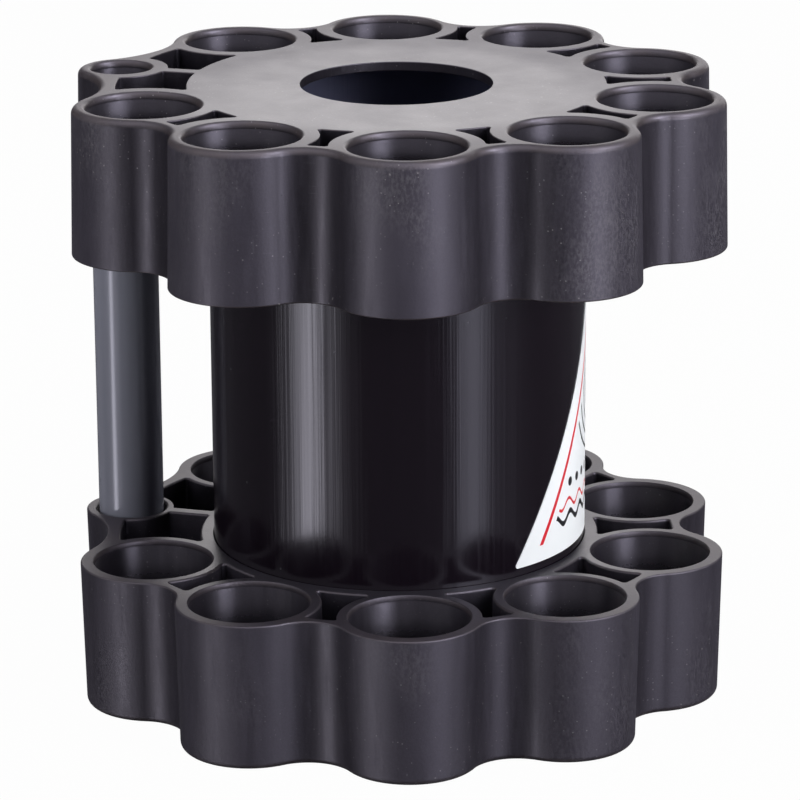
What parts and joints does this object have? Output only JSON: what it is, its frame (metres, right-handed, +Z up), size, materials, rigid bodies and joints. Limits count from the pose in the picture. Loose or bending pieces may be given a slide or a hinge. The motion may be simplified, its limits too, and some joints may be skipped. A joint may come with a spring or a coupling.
{
  "type": "rod caddy",
  "caption": "Round fishing rod caddy: two scalloped black rings of rod sockets on a wide black centre tube, with a grey handle tube at one side.",
  "frame": {"origin": "middle of the underside, on the axis of the centre tube", "axes": "+Z up along the centre tube; the handle tube is towards -X; the row is the same on both sides of the XZ plane, apart from the label"},
  "size_m": [0.2832, 0.2722, 0.26],
  "materials": {
    "ring_plastic": "satin moulded black with faint flow marks",
    "tube_plastic": "extruded, gloss with fine lengthwise lines",
    "handle_plastic": "extruded, satin gloss grey",
    "label_vinyl": "printed white vinyl"
  },
  "bodies": {
    "root": {"upper_ring": "ring_plastic", "lower_ring": "ring_plastic", "centre_tube": "tube_plastic", "handle_tube": "handle_plastic", "label": "label_vinyl"}
  },
  "joints": []
}
